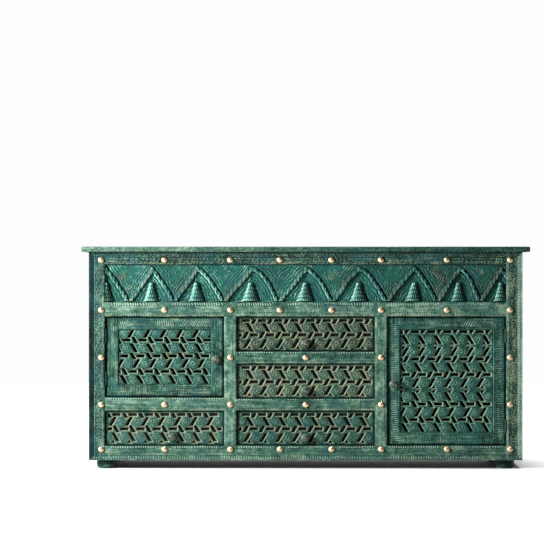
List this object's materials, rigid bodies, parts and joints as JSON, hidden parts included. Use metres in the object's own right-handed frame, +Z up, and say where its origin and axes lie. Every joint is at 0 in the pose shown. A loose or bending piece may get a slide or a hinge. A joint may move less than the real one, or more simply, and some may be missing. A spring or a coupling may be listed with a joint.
{
  "type": "carved sideboard",
  "caption": "Painted carved sideboard with an arcaded frieze, pierced lattice doors that swing, drawers that slide, domed brass studs on its face frame and bun feet.",
  "frame": {"origin": "on the floor under the middle of the top board's box", "axes": "+X along the length to the right seen from the front, -Y towards the front, +Z up"},
  "size_m": [1.6, 0.42, 0.795],
  "materials": {
    "painted_wood": "distressed green paint",
    "stained_wood": "dark stain",
    "brass": "polished",
    "aged_brass": "dark patina"
  },
  "bodies": {
    "case": {"back_panel": "stained_wood", "base_rail": "painted_wood", "bottom_board": "stained_wood", "brass_studs": "brass", "bun_feet": "painted_wood", "centre_cross_rails": "painted_wood", "door_stops": "stained_wood", "drawer_runners": "stained_wood", "foot_blocks": "stained_wood", "frame_hinge_leaves": "aged_brass", "frieze_panel": "painted_wood", "frieze_rail": "painted_wood", "hinge_pins": "aged_brass", "left_cross_rail": "painted_wood", "left_partition": "stained_wood", "left_post": "painted_wood", "left_shelf": "stained_wood", "left_side_panel": "painted_wood", "left_stile": "painted_wood", "right_partition": "stained_wood", "right_post": "painted_wood", "right_shelf": "stained_wood", "right_side_panel": "painted_wood", "right_stile": "painted_wood", "top_board": "painted_wood", "top_rail": "painted_wood"},
    "left_door": {"left_door_hinge_leaves": "aged_brass", "left_door_jali": "painted_wood", "left_door_knob": "painted_wood", "left_door_rails": "painted_wood", "left_door_stiles": "painted_wood"},
    "right_door": {"right_door_hinge_leaves": "aged_brass", "right_door_jali": "painted_wood", "right_door_knob": "painted_wood", "right_door_rails": "painted_wood", "right_door_stiles": "painted_wood"},
    "left_drawer": {"left_drawer_back": "stained_wood", "left_drawer_backing": "stained_wood", "left_drawer_bottom": "stained_wood", "left_drawer_front": "painted_wood", "left_drawer_knob": "painted_wood", "left_drawer_sides": "stained_wood"},
    "bottom_drawer": {"bottom_drawer_back": "stained_wood", "bottom_drawer_backing": "stained_wood", "bottom_drawer_bottom": "stained_wood", "bottom_drawer_front": "painted_wood", "bottom_drawer_knob": "painted_wood", "bottom_drawer_sides": "stained_wood"},
    "middle_drawer": {"middle_drawer_back": "stained_wood", "middle_drawer_backing": "stained_wood", "middle_drawer_bottom": "stained_wood", "middle_drawer_front": "painted_wood", "middle_drawer_knob": "painted_wood", "middle_drawer_sides": "stained_wood"},
    "top_drawer": {"top_drawer_back": "stained_wood", "top_drawer_backing": "stained_wood", "top_drawer_bottom": "stained_wood", "top_drawer_front": "painted_wood", "top_drawer_knob": "painted_wood", "top_drawer_sides": "stained_wood"}
  },
  "joints": [
    {"name": "left_door_swing", "type": "hinge", "parent": "case", "child": "left_door", "pos_m": [-0.7155, -0.177, 0.4], "axis": [0, 0, -1], "range_deg": [0, 105]},
    {"name": "right_door_swing", "type": "hinge", "parent": "case", "child": "right_door", "pos_m": [0.7155, -0.177, 0.4], "axis": [0, 0, 1], "range_deg": [0, 105]},
    {"name": "left_drawer_slide", "type": "slide", "parent": "case", "child": "left_drawer", "axis": [0, -1, 0], "range_m": [0, 0.25]},
    {"name": "bottom_drawer_slide", "type": "slide", "parent": "case", "child": "bottom_drawer", "axis": [0, -1, 0], "range_m": [0, 0.25]},
    {"name": "middle_drawer_slide", "type": "slide", "parent": "case", "child": "middle_drawer", "axis": [0, -1, 0], "range_m": [0, 0.25]},
    {"name": "top_drawer_slide", "type": "slide", "parent": "case", "child": "top_drawer", "axis": [0, -1, 0], "range_m": [0, 0.25]}
  ]
}
